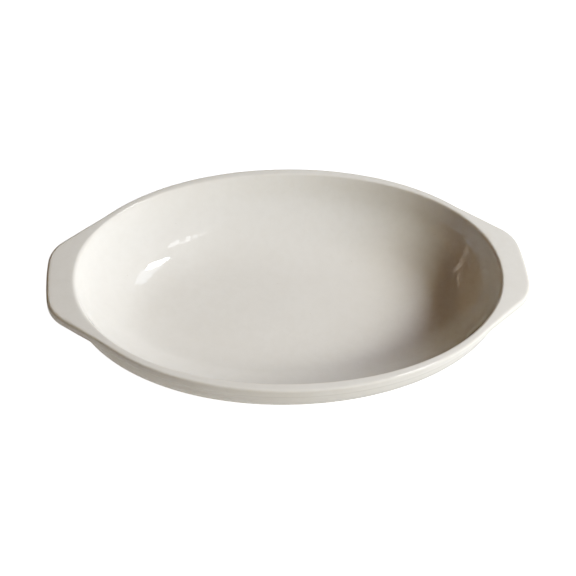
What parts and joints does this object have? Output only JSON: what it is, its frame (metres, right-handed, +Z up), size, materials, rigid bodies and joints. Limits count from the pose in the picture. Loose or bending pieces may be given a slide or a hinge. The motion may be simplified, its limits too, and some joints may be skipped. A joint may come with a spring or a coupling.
{
  "type": "gratin dish",
  "caption": "Oval glazed ceramic baking dish, shallow with sloping walls, a rounded rim and a flat lug handle at each end, standing on an unglazed foot ring.",
  "frame": {"origin": "centre of the dish on the plane its foot ring stands on", "axes": "+X along the length through both lug handles, +Y across the dish, +Z up out of the cavity"},
  "size_m": [0.2702, 0.1612, 0.04],
  "materials": {
    "clay": "matte",
    "glaze": "gloss"
  },
  "bodies": {
    "root": {"bowl": "clay", "left_handle": "clay", "right_handle": "clay", "foot_ring": "clay", "glaze": "glaze"}
  },
  "joints": []
}
